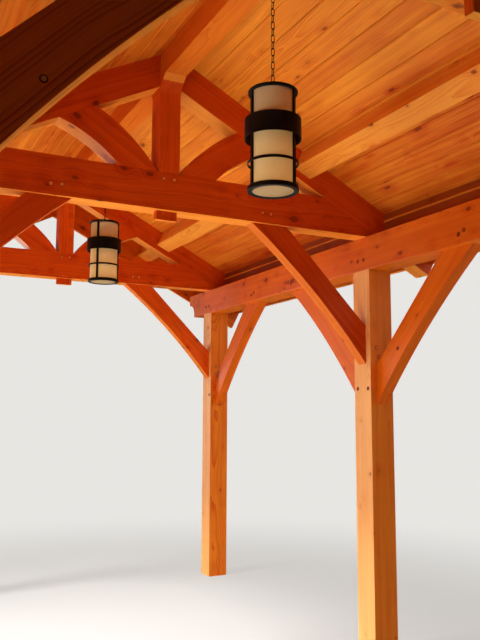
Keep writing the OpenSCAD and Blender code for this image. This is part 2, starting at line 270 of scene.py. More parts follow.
def dressed(
    name,
    node_names,
    material,
    chamfer,
    seed,
    grain_way=None,
    light_way=DOWN,
    least=0.2,
):
    """A copy of CAD timbers with whole faces, chamfered arrises and a grain of its own in each timber. A
    face whose normal reaches more than the least along the given way towards the light is marked as lit,
    for painted light."""
    draw = random.Random(seed)
    work = bmesh.new()
    for node_name in node_names:
        work.from_mesh(nodes[node_name].data)
    bmesh.ops.remove_doubles(work, verts=work.verts, dist=1e-5)
    bmesh.ops.dissolve_limit(work, angle_limit=math.radians(0.6), verts=work.verts, edges=work.edges)
    work.verts.index_update()
    work.edges.index_update()
    grain = work.verts.layers.float_vector.new("grain")
    tone = work.verts.layers.float.new("tone")
    arris = work.loops.layers.float.new("arris")
    pale_side = work.loops.layers.float.new("pale_side")
    for timber in timbers_of(work):
        middle = sum((vertex.co for vertex in timber), Vector()) / len(timber)
        edges = {edge for vertex in timber for edge in vertex.link_edges}
        longest = max(edges, key=lambda edge: (round(edge.calc_length(), 4), -edge.index))
        way = Vector(grain_way(middle)) if grain_way else longest.verts[1].co - longest.verts[0].co
        way.normalize()
        level = Vector((0.0, 0.0, 1.0)) if abs(way.z) < 0.9 else Vector((0.0, 1.0, 0.0))
        side = level.cross(way).normalized()
        rise = way.cross(side)
        start = draw.uniform(0.0, 40.0)
        pith_side = draw.choice((-1, 1)) * draw.uniform(0.02, 0.16)
        pith_rise = draw.choice((-1, 1)) * draw.uniform(0.03, 0.2)
        shade = draw.uniform(-1.0, 1.0)
        for vertex in timber:
            offset = vertex.co - middle
            across, up = offset.dot(side) + pith_side, offset.dot(rise) + pith_rise
            vertex[grain] = (offset.dot(way) + start, across, up)
            vertex[tone] = shade
    arrises = [
        edge
        for edge in work.edges
        if len(edge.link_faces) == 2 and edge.is_convex and edge.calc_face_angle() > SHARP_ARRIS
    ]
    eased = bmesh.ops.bevel(
        work, geom=arrises, offset=chamfer, offset_type="OFFSET", segments=1, clamp_overlap=True
    )
    for face in eased["faces"]:
        for loop in face.loops:
            loop[arris] = 1.0
    work.normal_update()
    # Faces turned towards the light are marked for painted light.
    for face in work.faces:
        for loop in face.loops:
            loop[pale_side] = min(max((face.normal.dot(light_way) - least) * 6.0, 0.0), 1.0)
    mesh = bpy.data.meshes.new(name)
    work.to_mesh(mesh)
    work.free()
    return keep(name, mesh, material, node_names)


post_wood = wood(
    "honey_fir",
    paint(244, 141, 36),
    paint(207, 80, 9),
    ring=0.0055,
    figure=0.7,
    knot_size=0.8,
    # The faces towards the left take these paler colours: painted sunlight.
    lit_colours=(paint(251, 190, 112), paint(226, 132, 58)),
)
POST_CHAMFER = 0.008
places = ("far_left", "far_right", "middle_left", "middle_right", "near_left", "near_right")
for number, place in enumerate(places):
    dressed(f"square_post_{place}", [f"post_{place}"], post_wood, POST_CHAMFER, 11 + number, light_way=LEFT)


# Plates. One long timber lies on each row of posts and carries the rafters. Its far end runs on under
# the gable and is cut to a nose above a cove.
beam_wood = wood(
    "amber_fir",
    paint(233, 116, 14),
    paint(188, 62, 2),
    ring=0.0075,
    knot_cells=(6.5, 11.0, 11.0),
    knot_size=1.4,
    # Undersides take these paler colours: painted light from below.
    lit_colours=(paint(238, 130, 18), paint(200, 76, 4)),
)
PLATE_CHAMFER = 0.006
for number, side in enumerate(("left", "right")):
    dressed(f"plate_beam_{side}", [f"plate_{side}"], beam_wood, PLATE_CHAMFER, 31 + number)


# Trusses. A tie beam spans from plate to plate, a king post stands on it under the ridge, with a
# pendant below, and arched struts spring from its foot to the rafters.
# The undersides of the truss timbers and of the near tie knees take these paler colours: painted light from
# below.
LIT_SOFFIT = (paint(255, 168, 58), paint(236, 122, 24))
RED = (paint(231, 94, 13), paint(174, 43, 2))
TRUSS_CHAMFER = 0.005
truss_wood = wood(
    "red_fir",
    *RED,
    ring=0.009,
    figure=0.6,
    knot_cells=(6.0, 9.0, 9.0),
    knot_size=1.3,
    lit_colours=LIT_SOFFIT,
)


def upright(middle):
    return (0.0, 0.0, 1.0)


def up_and_outwards(middle):
    return (math.copysign(0.84, middle.x), 0.0, 0.54)


for number, place in enumerate(("far", "middle", "near")):
    dressed(f"truss_tie_{place}", [f"tie_beam_{place}"], truss_wood, TRUSS_CHAMFER, 41 + number)
    king_post = [f"king_post_{place}"]
    dressed(f"truss_king_{place}", king_post, truss_wood, TRUSS_CHAMFER, 44 + number, upright, least=0.68)
    dressed(f"rafter_pair_{place}", [f"rafters_{place}"], truss_wood, TRUSS_CHAMFER, 47 + number)
    struts = [f"struts_{place}"]
    dressed(f"arched_struts_{place}", struts, truss_wood, TRUSS_CHAMFER, 50 + number, up_and_outwards)
dressed("king_pendants", ["truss_pendants"], truss_wood, TRUSS_CHAMFER, 54, upright)


# Knee braces. Each is sawn with an arched underside from a plank turned on edge, and is tenoned at
# both ends into the post and into the timber above.
figured_wood = wood("figured_fir", *RED, ring=0.010, figure=1.1, knot_size=0.7, lit_colours=LIT_SOFFIT)
# The undersides of the far and middle tie knees take these paler colours: painted light from below.
RED_BRACE_LIT_SOFFIT = (paint(238, 134, 36), paint(208, 92, 14))
red_brace_wood = wood("red_brace_fir", *RED, ring=0.009, figure=0.6, lit_colours=RED_BRACE_LIT_SOFFIT)
BRACE_CHAMFER = 0.005
for place, material, seed in (
    ("far", red_brace_wood, 60),
    ("middle", red_brace_wood, 61),
    ("near", figured_wood, 94),
):
    dressed(f"tie_knees_{place}", [f"tie_braces_{place}"], material, BRACE_CHAMFER, seed)
AMBER = (paint(232, 113, 12), paint(190, 61, 2))
amber_brace_wood = wood("amber_brace_fir", *AMBER, knot_cells=(3.0, 7.0, 7.0))
for number, side in enumerate(("left", "right")):
    dressed(f"plate_knees_{side}", [f"plate_braces_{side}"], amber_brace_wood, BRACE_CHAMFER, 64 + number)


# Ridge beam and purlins. They run along the roof under the boards. The purlins are let in between
# the rafters, square to the slope.
ridge_wood = wood(
    "ridge_fir",
    paint(236, 124, 24),
    paint(198, 76, 6),
    knot_size=0.5,
    # Its underside takes these paler colours: painted light from below.
    lit_colours=(paint(244, 142, 38), paint(214, 94, 12)),
)
RIDGE_CHAMFER, PURLIN_CHAMFER = 0.009, 0.005
dressed("ridge_timber", ["ridge_beam"], ridge_wood, RIDGE_CHAMFER, 71)
purlin_wood = wood("golden_fir", paint(254, 176, 66), paint(226, 112, 20), ring=0.010, figure=0.6)
for number, side in enumerate(("left", "right")):
    dressed(f"purlin_run_{side}", [f"purlin_{side}"], purlin_wood, PURLIN_CHAMFER, 72 + number)


# Pegs. Split oak pegs, driven through the mortises, hold the tenons. They taper, and their heads
# stand a little proud of the timber. Like plugs close a small hole in some of the braces.
POST_X, FAR_Y, MIDDLE_Y, NEAR_Y = 1.612, 2.7225, 0.0385, -2.6615
POST_HALF, PLATE_FOOT, TIE_FOOT, TRUSS_HALF, BRACE_HALF = 0.095, 2.644, 2.884, 0.07, 0.0445
KNEE_FOOT_REACH, KNEE_FOOT_HEIGHT = 0.06, 1.798
KNEE_HEAD_PEGS = ((1.03, 0.078), (0.985, 0.06))
POST_HEAD_SHIFTS, POST_HEAD_RISE = (-0.032, 0.038), 0.077
TIE_KNEE_PEGS = ((0.055, 2.086), (0.073, 2.021))
TRUSS_PEGS = ((0.670, 0.069), (0.733, 0.066), (0.035, 0.199))
TIE_KNEE_PLUG_X, TIE_KNEE_PLUG_HEIGHT = 1.3204, 2.339
PLATE_KNEE_PLUG_REACH, PLATE_KNEE_PLUG_HEIGHT = 0.330, 2.063
pale_spots, dark_spots, brace_spots = [], [], []
for y, brace_ways in ((FAR_Y, (-1,)), (MIDDLE_Y, (-1, 1)), (NEAR_Y, (1,))):
    for side in (-1, 1):
        for face in (-1, 1):
            outwards, row_face = (side * face, 0.0, 0.0), side * (POST_X + face * POST_HALF)
            for way in brace_ways:
                dark_spots.append(((row_face, y + way * KNEE_FOOT_REACH, KNEE_FOOT_HEIGHT), outwards))
                for reach, rise in KNEE_HEAD_PEGS:
                    dark_spots.append(((row_face, y + way * reach, PLATE_FOOT + rise), outwards))
            for shift in POST_HEAD_SHIFTS:
                dark_spots.append(((row_face, y + shift, PLATE_FOOT + POST_HEAD_RISE), outwards))
            endwise = (0.0, float(face), 0.0)
            for inset, height in TIE_KNEE_PEGS:
                across = side * (POST_X - POST_HALF + inset)
                pale_spots.append(((across, y + face * POST_HALF, height), endwise))
            truss_face = y + face * TRUSS_HALF
            for reach, rise in TRUSS_PEGS:
                pale_spots.append(((side * reach, truss_face, TIE_FOOT + rise), endwise))
for side in (-1, 1):
    plug = (side * TIE_KNEE_PLUG_X, NEAR_Y - BRACE_HALF, TIE_KNEE_PLUG_HEIGHT)
    brace_spots.append((plug, (0.0, -1.0, 0.0)))
    plug = (side * (POST_X - BRACE_HALF), MIDDLE_Y - PLATE_KNEE_PLUG_REACH, PLATE_KNEE_PLUG_HEIGHT)
    dark_spots.append((plug, (-side, 0.0, 0.0)))
CLEAR_GRAIN = {"ring": 0.003, "knot_size": 0.01, "cracks": 0.0}
pale_peg = wood("pale_peg", paint(240, 136, 58), paint(196, 84, 22), **CLEAR_GRAIN)
dark_peg = wood("dark_peg", paint(160, 62, 16), paint(96, 30, 6), **CLEAR_GRAIN)
hole_stain = wood("stained_hole", paint(112, 40, 9), paint(66, 20, 4), **CLEAR_GRAIN)


def tree_with(name, **sockets):
    """A geometry tree with these named inputs, with _ for each space; returns its geometry input."""
    tree = bpy.data.node_groups.new(name, "GeometryNodeTree")
    tree.interface.new_socket("Geometry", in_out="OUTPUT", socket_type="NodeSocketGeometry")
    tree.interface.new_socket("Geometry", in_out="INPUT", socket_type="NodeSocketGeometry")
    for label, kind in sockets.items():
        tree.interface.new_socket(label.replace("_", " "), in_out="INPUT", socket_type=f"NodeSocket{kind}")
    return Wire(tree).node("NodeGroupInput")


def marked(geometry, name, value, kind="FLOAT", domain="POINT"):
    """Stores a named attribute on a geometry wire."""
    settings = {"data_type": kind, "domain": domain}
    return geometry.node(
        "GeometryNodeStoreNamedAttribute", settings, {"Geometry": geometry, "Name": name, "Value": value}
    )


def read(wire, name, kind="FLOAT"):
    return wire.node("GeometryNodeInputNamedAttribute", {"data_type": kind}, {"Name": name})


def chance(wire, low, high, seed):
    """A random number for each point or instance."""
    values = {2: low, 3: high, "Seed": seed}
    return wire.node("FunctionNodeRandomValue", {"data_type": "FLOAT"}, values, out=1)


def grown(inputs, result, mesh, **values):
    """Ends a tree, runs it once on a mesh with these values of its inputs, and returns the plain mesh."""
    whole = inputs.node("GeometryNodeRealizeInstances", (), {"Geometry": result})
    coated = {"Geometry": whole, "Material": inputs.also("Material")}
    whole = inputs.node("GeometryNodeSetMaterial", (), coated)
    end = inputs.tree.nodes.new("NodeGroupOutput")
    inputs.tree.links.new(whole.socket, end.inputs["Geometry"])
    base = bpy.data.objects.new("base", mesh)
    bpy.context.scene.collection.objects.link(base)
    modifier = base.modifiers.new("grown", "NODES")
    modifier.node_group = inputs.tree
    for item in inputs.tree.interface.items_tree:
        label = item.name.replace(" ", "_")
        if item.in_out == "INPUT" and label in values:
            modifier[item.identifier] = values[label]
    plain = bpy.data.meshes.new_from_object(base.evaluated_get(bpy.context.evaluated_depsgraph_get()))
    bpy.data.objects.remove(base)
    return plain


def driven_pegs(name, spots, material, **values):
    """A peg at each spot: tapered, sunk, and with the fibres along it."""
    points = bpy.data.meshes.new("peg points")
    points.from_pydata([spot for spot, _ in spots], [], [])
    ways = points.attributes.new("facing", "FLOAT_VECTOR", "POINT")
    ways.data.foreach_set("vector", [part for _, way in spots for part in way])
    pegs = tree_with(
        "pegs",
        Radius="Float",
        Taper="Float",
        Length="Float",
        Proud="Float",
        Seed="Int",
        Material="Material",
    )
    peg = pegs.node(
        "GeometryNodeMeshCone",
        (),
        {
            "Vertices": 14,
            "Radius Top": pegs.also("Radius") * pegs.also("Taper"),
            "Radius Bottom": pegs.also("Radius"),
            "Depth": pegs.also("Length"),
        },
    )
    place = pegs.node("ShaderNodeSeparateXYZ", (), {0: pegs.node("GeometryNodeInputPosition")})
    peg = marked(peg, "fibres", pegs.vector(place.also("Z"), place, place.also("Y")), "FLOAT_VECTOR")
    sunk = pegs.vector(0.0, 0.0, pegs.also("Proud") - pegs.also("Length"))
    peg = pegs.node("GeometryNodeTransform", (), {"Geometry": peg, "Translation": sunk})
    facing = read(pegs, "facing", "FLOAT_VECTOR")
    turn = pegs.node("FunctionNodeAlignRotationToVector", {"axis": "Z"}, {"Vector": facing})
    settled = {"Points": pegs, "Instance": peg, "Rotation": turn}
    driven = pegs.node("GeometryNodeInstanceOnPoints", (), settled)
    driven = marked(driven, "tone", chance(pegs, -1.0, 1.0, pegs.also("Seed")), domain="INSTANCE")
    driven = pegs.node("GeometryNodeRealizeInstances", (), {"Geometry": driven})
    apart = pegs.vector(read(pegs, "tone") * 9.0, read(pegs, "tone") * 0.003, 0.0)
    fibres = pegs.node(
        "ShaderNodeVectorMath", {"operation": "ADD"}, {0: read(pegs, "fibres", "FLOAT_VECTOR"), 1: apart}
    )
    driven = marked(driven, "grain", fibres, "FLOAT_VECTOR")
    mesh = grown(pegs, driven, points, Material=material, **values)
    keep(name, mesh, material)


PEG = {"Taper": 0.84, "Length": 0.012, "Proud": 0.003}
HOLE = {"Taper": 0.97, "Length": 0.006, "Proud": 0.0006}
driven_pegs("pale_pegs", pale_spots, pale_peg, Radius=0.0138, Seed=5, **PEG)
driven_pegs("pale_peg_holes", pale_spots, hole_stain, Radius=0.0154, Seed=6, **HOLE)
driven_pegs("dark_pegs", dark_spots, dark_peg, Radius=0.0135, Seed=7, **PEG)
driven_pegs("dark_peg_holes", dark_spots, hole_stain, Radius=0.0152, Seed=8, **HOLE)
driven_pegs("brace_plugs", brace_spots, pale_peg, Radius=0.0068, Seed=9, **PEG)
driven_pegs("brace_plug_holes", brace_spots, hole_stain, Radius=0.0102, Seed=10, **HOLE)


# Ceiling boards. Tongued and grooved boards with V joints lie along the roof on top of the rafters,
# and are nailed there with their faces down, so that they are ceiling and roof deck in one. Those
# near the eaves, and all on the left slope, are painted darker: painted shade.
PITCH = math.radians(27.0)
DECK = 0.020
SLOPE_LENGTH = 2.43995
WALL_Y, BARGE_Y = -3.3115, 3.2585
APEX_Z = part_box("roof_deck_left")[1][2] - DECK / math.cos(PITCH)
to_apex, tilt = Matrix.Translation((0.0, 0.0, APEX_Z)), Matrix.Rotation(PITCH, 4, "Y")
on_slope = {"right": to_apex @ tilt, "left": to_apex @ Matrix.Rotation(math.pi, 4, "Z") @ tilt}


def prism(work, outline, near, far):
    """Adds a closed bar with an outline of X and Z and its ends at two places along Y."""
    rows = [[work.verts.new((x, y, z)) for x, z in outline] for y in (near, far)]
    work.faces.new(rows[0])
    work.faces.new(list(reversed(rows[1])))
    for index in range(len(outline)):
        work.faces.new((rows[0][index - 1], rows[1][index - 1], rows[1][index], rows[0][index]))


def finished(work, name):
    """Turns a bmesh of closed solids into a mesh whose faces point outwards."""
    bmesh.ops.recalc_face_normals(work, faces=work.faces)
    mesh = bpy.data.meshes.new(name)
    work.to_mesh(mesh)
    work.free()
    return mesh


board_wood = wood(
    "ceiling_board",
    paint(255, 166, 48),
    paint(192, 58, 1),
    ring=0.008,
    knot_cells=(3.6, 10.0, 0.6),
    knot_size=0.9,
    cracks=0.0,
)
BOARD_COUNT = 18
board_pitch = SLOPE_LENGTH / BOARD_COUNT
BOARD_GAP, GROOVE = 0.0012, 0.005
board_width = board_pitch - BOARD_GAP
board_outline = [
    (GROOVE, 0.0),
    (board_width - GROOVE, 0.0),
    (board_width, GROOVE),
    (board_width, DECK),
    (0.0, DECK),
    (0.0, GROOVE),
]
for side, runs in (
    ("right", (WALL_Y, NEAR_Y, MIDDLE_Y, FAR_Y, BARGE_Y)),
    ("left", (-BARGE_Y, -FAR_Y, -MIDDLE_Y, -NEAR_Y, -WALL_Y)),
):
    work = bmesh.new()
    prism(work, board_outline, 0.0, 1.0)
    board_mesh = finished(work, "board")
    boards = tree_with(
        "ceiling boards",
        Boards="Int",
        Board_pitch="Float",
        Start="Float",
        Early_joint="Float",
        Late_joint="Float",
        Last_joint="Float",
        End="Float",
        Shade="Float",
        Seed="Int",
        Material="Material",
    )
    down_slope = boards.vector(boards.also("Board pitch"), 0, 0)
    row = boards.node("GeometryNodeMeshLine", (), {"Count": boards.also("Boards"), "Offset": down_slope})
    coin = boards.math("ROUND", chance(boards, 0.0, 1.0, boards.also("Seed")))
    joint = boards.also("Early joint") * (1.0 - coin) + boards.also("Late joint") * coin
    place = boards.node("ShaderNodeSeparateXYZ", (), {0: boards.node("GeometryNodeInputPosition")})
    one_board = marked(boards, "width_place", place)
    laid = boards.node("GeometryNodeJoinGeometry")
    ends = (boards.also("Start"), joint, boards.also("Last joint"), boards.also("End"))
    for index, (start, stop) in enumerate(zip(ends, ends[1:])):
        to_start = boards.vector(0, start, 0)
        begun = boards.node("GeometryNodeSetPosition", (), {"Geometry": row, "Offset": to_start})
        length = boards.vector(1.0, stop - start - BOARD_GAP, 1.0)
        run_of_boards = {"Points": begun, "Instance": one_board, "Scale": length}
        run = boards.node("GeometryNodeInstanceOnPoints", (), run_of_boards)
        seed = boards.also("Seed") + 10 * index
        run = marked(run, "tone", chance(boards, -1.0, 1.0, seed + 1), domain="INSTANCE")
        run = marked(run, "start", chance(boards, 0.0, 40.0, seed + 2), domain="INSTANCE")
        run = marked(run, "pith", chance(boards, -0.12, 0.12, seed + 3), domain="INSTANCE")
        boards.tree.links.new(run.socket, laid.socket.node.inputs[0])
    laid = boards.node("GeometryNodeRealizeInstances", (), {"Geometry": laid})
    log_place = boards.vector(
        place.also("Y") + read(boards, "start"),
        read(boards, "width_place") - 0.067 + read(boards, "pith"),
        place.also("Z") + read(boards, "pith") * 0.4 + 0.05,
    )
    laid = marked(laid, "grain", log_place, "FLOAT_VECTOR")
    # Painted shade: the boards darken towards the eaves, and those on the left slope through the Shade
    # input.
    eaves_painted_shade = place.between(0.8, 2.2) * 3.4
    laid = marked(laid, "tone", read(boards, "tone") + boards.also("Shade") + eaves_painted_shade)
    ceiling = grown(
        boards,
        laid,
        board_mesh,
        Boards=BOARD_COUNT,
        Board_pitch=board_pitch,
        Start=runs[0],
        Early_joint=runs[1],
        Late_joint=runs[2],
        Last_joint=runs[3],
        End=runs[4],
        Shade=0.0 if side == "right" else 1.2,
        Seed=17 if side == "right" else 29,
        Material=board_wood,
    )
    ceiling.transform(on_slope[side])
    keep(f"ceiling_boards_{side}", ceiling, board_wood, [f"roof_deck_{side}"])


# Frieze boards, fascias and barge boards. They close the eaves above the plates, cover the ends of
# the ceiling boards, and trim the far gable. All are stained boards nailed on.
# The frieze boards are painted dark: painted shade in the recess above the plates.
shaded_frieze_wood = wood("dark_frieze", paint(172, 78, 20), paint(128, 48, 8), cracks=0.0)
BOARD_CHAMFER, BARGE_CHAMFER = 0.002, 0.003
dressed("frieze_board_set", ["frieze_boards"], shaded_frieze_wood, BOARD_CHAMFER, 81)
FRIEZE_THICK, BEAD_SHARE = 0.019, 0.68
BEAD_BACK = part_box("frieze_boards")[1][0] - FRIEZE_THICK
frieze_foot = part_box("frieze_boards")[0][2]
frieze_head = APEX_Z - BEAD_BACK * math.tan(PITCH)
bead_foot = frieze_foot + BEAD_SHARE * (frieze_head - frieze_foot)
bead_outline = [(0.0, 0.0), (-0.006, 0.0), (-0.009, 0.003), (-0.009, 0.009), (-0.006, 0.012), (0.0, 0.012)]
work = bmesh.new()
for near, far in ((WALL_Y, NEAR_Y), (NEAR_Y, MIDDLE_Y), (MIDDLE_Y, FAR_Y)):
    near += TRUSS_HALF if near > WALL_Y else 0.0
    for way in (-1.0, 1.0):
        corners = [(way * (BEAD_BACK + x), bead_foot + z) for x, z in bead_outline]
        prism(work, corners, near, far - TRUSS_HALF)
bead_mesh = finished(work, "beads")
bead_grain = bead_mesh.attributes.new("grain", "FLOAT_VECTOR", "POINT")
for vertex in bead_mesh.vertices:
    x, y, z = vertex.co
    bead_grain.data[vertex.index].vector = (y, x - BEAD_BACK + 0.1, z - bead_foot + 0.1)
keep("frieze_beads", bead_mesh, board_wood)
dressed("fascia_pair", ["eave_fascias"], board_wood, BOARD_CHAMFER, 82)
for number, side in enumerate(("left", "right")):
    dressed(f"gable_barge_{side}", [f"barge_board_{side}"], beam_wood, BARGE_CHAMFER, 83 + number)


# Shingles. Laminated shingles of felt faced with mineral granules, in courses that break joint, with
# a darker band where the next course laps them. They lie on an underlay, and folded caps of the same
# felt lap each other along the ridge.
SHINGLE_TOP = DECK + 0.012
FASCIA_THICK, DRIP = 0.019, 0.015
EAVE = SLOPE_LENGTH + FASCIA_THICK + DRIP
COVER_END = -WALL_Y
granules, shader, wire = surface("mineral_granules", 0.92)
shader.inputs["Specular IOR Level"].default_value = 0.1
spot = wire.node("ShaderNodeTexCoord", out="Object")
shade = wire.node("ShaderNodeAttribute", {"attribute_name": "tone"}, out="Fac")
grit = wire.noise(spot, 420.0, 2.0)
patch = wire.noise(spot, 22.0, 3.0)
weather = wire.noise(spot, 1.6, 3.0)
lap = wire.node("ShaderNodeAttribute", {"attribute_name": "lap"}, out="Fac")
shadow_band = lap.between(-0.105, -0.140)
grey = wire.blend(patch * 0.7 + shade * 1.1, paint(78, 72, 66), paint(132, 122, 110))
grey = wire.blend(grit.between(0.45, 0.62) * 0.6, grey, paint(150, 141, 130))
grey = wire.blend(shadow_band * 0.75, grey, paint(44, 40, 37))
grey = wire.blend(weather.between(0.5, 0.72) * 0.35, grey, paint(62, 60, 54))
rugged = wire.bump(grit + patch * 0.4, 0.0015, 0.7)
feed(shader, Base_Color=grey, Roughness=0.86 + grit * 0.12, Normal=rugged)
EXPOSURE, SHINGLE_LENGTH, SHINGLE_WIDTH = 0.1435, 0.235, 0.30
UNDERLAY, SHINGLE_LIFT = 0.0015, 0.0016
HALF_SHINGLE = SHINGLE_WIDTH / 2 - 0.002
work = bmesh.new()
base_layer = [(-SHINGLE_LENGTH, 0.0002), (0.0, 0.0050), (0.0, 0.0078), (-SHINGLE_LENGTH, 0.0028)]
prism(work, base_layer, -HALF_SHINGLE, HALF_SHINGLE)
for near, far in ((-HALF_SHINGLE, -0.055), (0.02, 0.11)):
    prism(work, [(-0.16, 0.0045), (0.0, 0.0078), (0.0, 0.0100), (-0.16, 0.0060)], near, far)
shingle_mesh = finished(work, "shingle")
for side in ("right", "left"):
    courses = tree_with(
        "shingle courses",
        Rows="Int",
        Columns="Int",
        Exposure="Float",
        Width="Float",
        Lower_edge="Float",
        Half_run="Float",
        Seed="Int",
        Material="Material",
    )
    rows, columns = courses.also("Rows"), courses.also("Columns")
    size_x, size_y = (rows - 1) * courses.also("Exposure"), (columns - 1) * courses.also("Width")
    grid_size = {"Size X": size_x, "Size Y": size_y, "Vertices X": rows, "Vertices Y": columns}
    grid = courses.node("GeometryNodeMeshGrid", (), grid_size)
    place = courses.node("ShaderNodeSeparateXYZ", (), {0: courses.node("GeometryNodeInputPosition")})
    course = courses.math("ROUND", (place + size_x * 0.5) / courses.also("Exposure"))
    drawn = {2: -0.25, 3: 0.25, "ID": course, "Seed": courses.also("Seed")}
    shift = courses.node("FunctionNodeRandomValue", {"data_type": "FLOAT"}, drawn, out=1)
    broken = (courses.math("MODULO", course, 2.0) * 0.5 + shift) * courses.also("Width")
    moved = courses.vector(courses.also("Lower edge") - size_x * 0.5, broken, 0.0)
    grid = courses.node("GeometryNodeSetPosition", (), {"Geometry": grid, "Offset": moved})
    half_run = courses.also("Half run")
    on_roof = courses.math("LESS_THAN", courses.math("ABSOLUTE", place.also("Y")), half_run + 0.13)
    one_shingle = marked(courses, "lap", place)
    whole_ones = {"Points": grid, "Selection": on_roof, "Instance": one_shingle}
    nailed = courses.node("GeometryNodeInstanceOnPoints", (), whole_ones)
    own_shade = chance(courses, -0.5, 0.5, courses.also("Seed") + 1)
    nailed = marked(nailed, "tone", own_shade, domain="INSTANCE")
    nailed = courses.node("GeometryNodeRealizeInstances", (), {"Geometry": nailed})
    trimmed = courses.node("ShaderNodeClamp", (), {0: place.also("Y"), 1: half_run * -1.0, 2: half_run})
    below_ridge = courses.math("MAXIMUM", place, 0.012)
    cut = courses.vector(below_ridge, trimmed, place.also("Z"))
    nailed = courses.node("GeometryNodeSetPosition", (), {"Geometry": nailed, "Position": cut})
    shingles = grown(
        courses,
        nailed,
        shingle_mesh.copy(),
        Rows=17,
        Columns=25,
        Exposure=EXPOSURE,
        Width=SHINGLE_WIDTH,
        Lower_edge=EAVE,
        Half_run=COVER_END,
        Seed=3 if side == "right" else 8,
        Material=granules,
    )
    shingles.transform(on_slope[side] @ Matrix.Translation((0.0, 0.0, DECK + SHINGLE_LIFT)))
    keep(f"shingles_{side}", shingles, granules, ["roof_covering"] if side == "right" else ())


def slope_place(distance, lift):
    """X and Z of a place on the right slope, from its distance down the slope and its lift."""
    return (
        distance * math.cos(PITCH) + lift * math.sin(PITCH),
        APEX_Z - distance * math.sin(PITCH) + lift * math.cos(PITCH),
    )


def over_ridge(low, high, reach):
    """Outline of a sheet folded over the ridge, between two lifts off the rafters."""
    right = [(0.0, APEX_Z + low / math.cos(PITCH)), slope_place(reach, low), slope_place(reach, high)]
    left = [(-x, z) for x, z in reversed(right[1:])]
    return right + [(0.0, APEX_Z + high / math.cos(PITCH))] + left


work = bmesh.new()
prism(work, over_ridge(DECK, DECK + UNDERLAY, EAVE - 0.004), -COVER_END + 0.002, COVER_END - 0.002)
keep("roof_underlay", finished(work, "underlay"), granules)

CAP_LENGTH, CAP_REACH, CAP_RAISE = 0.21, 0.125, 0.0030
work = bmesh.new()
prism(work, over_ridge(SHINGLE_TOP - 0.0006, SHINGLE_TOP + 0.0018, CAP_REACH), 0.0, CAP_LENGTH)
for vertex in work.verts:
    vertex.co.z += CAP_RAISE * (1.0 - vertex.co.y / CAP_LENGTH)
cap_mesh = finished(work, "cap")
caps = tree_with("ridge caps", Caps="Int", Start="Float", Exposure="Float", Seed="Int", Material="Material")
line = caps.node(
    "GeometryNodeMeshLine",
    (),
    {
        "Count": caps.also("Caps"),
        "Start Location": caps.vector(0.0, caps.also("Start"), 0.0),
        "Offset": caps.vector(0.0, caps.also("Exposure"), 0.0),
    },
)
lapped = caps.node("GeometryNodeInstanceOnPoints", (), {"Points": line, "Instance": caps})
lapped = marked(lapped, "tone", chance(caps, -0.5, 0.5, caps.also("Seed")), domain="INSTANCE")
CAP_COUNT = 46
cap_run = grown(
    caps,
    lapped,
    cap_mesh,
    Caps=CAP_COUNT,
    Start=-COVER_END,
    Exposure=(2 * COVER_END - CAP_LENGTH) / (CAP_COUNT - 1),
    Seed=4,
    Material=granules,
)
keep("ridge_caps", cap_run, granules)


# Lanterns. Two frosted glass cups, which let some daylight through, stand in frames of flat bars between
# a top disc and a lipped foot ring, with a thin ring and a wide band held off the bars by studs. All the
# metal is painted dark bronze. The glass is also given a painted glow, stronger towards its foot.
LANTERN_Z, LANTERN_H = 2.643, 0.485
FAR_LANTERN_Y, NEAR_LANTERN_Y = MIDDLE_Y + 1.337, MIDDLE_Y - 1.394
bronze, shader, wire = surface("dark_bronze_paint", 0.5, metallic=0.1)
shader.inputs["Specular IOR Level"].default_value = 0.1
spot = wire.node("ShaderNodeTexCoord", out="Object")
orange_peel = wire.noise(spot, 240.0, 2.0)
cloud = wire.noise(spot, 14.0, 3.0)
brown = wire.blend(cloud.between(0.35, 0.7), paint(18, 15, 13), paint(31, 24, 19))
brown = wire.blend(orange_peel.between(0.62, 0.75) * 0.25, brown, paint(74, 56, 42))
feed(shader, Base_Color=brown, Roughness=0.34 + cloud * 0.2, Normal=wire.bump(orange_peel, 0.0004, 0.4))
frosted, shader, wire = surface("frosted_cream_glass", 0.5, coat=0.2)
shader.inputs["Subsurface Weight"].default_value = 0.75
shader.inputs["Subsurface Radius"].default_value = (1.0, 0.8, 0.5)
shader.inputs["Subsurface Scale"].default_value = 0.02
spot = wire.node("ShaderNodeTexCoord", out="Object")
spread = wire.node("ShaderNodeSeparateXYZ", (), {0: spot})
mottle = wire.noise(spot, 9.0, 4.0)
brushed = wire.noise(wire.vector(spread * 260.0, spread.also("Y") * 260.0, spread.also("Z") * 6.0))
clouded = mottle.between(0.3, 0.75) * 0.5 + brushed * 0.25
cream = wire.blend(clouded, paint(252, 231, 170), paint(236, 207, 140))
thick = spread.also("Z").between(LANTERN_Z + 0.010, LANTERN_Z + 0.006)
cream = wire.blend(thick * 0.8, cream, paint(146, 116, 68))
# Painted glow: the glass emits a warm light, strongest towards its foot, in place of daylight let through.
painted_glow = spread.also("Z").between(LANTERN_Z + 0.42, LANTERN_Z + 0.08) * (1.0 - thick * 0.8)
shader.inputs["Emission Strength"].default_value = 0.15
feed(shader, Emission_Color=wire.blend(painted_glow, (0.0, 0.0, 0.0, 1.0), paint(255, 204, 124)))
feed(shader, Base_Color=cream, Roughness=0.44 + mottle * 0.14, Normal=wire.bump(brushed, 0.0003, 0.3))
TURNS = 80


def turned(work, profile, steps=TURNS):
    """Adds a closed ring turned round the Z axis from a closed profile of radii and heights."""
    rows = []
    for step in range(steps):
        angle = step * math.tau / steps
        rows.append([work.verts.new((r * math.cos(angle), r * math.sin(angle), z)) for r, z in profile])
    for index, row in enumerate(rows):
        before = rows[index - 1]
        for point in range(len(profile)):
            work.faces.new((before[point - 1], row[point - 1], row[point], before[point]))


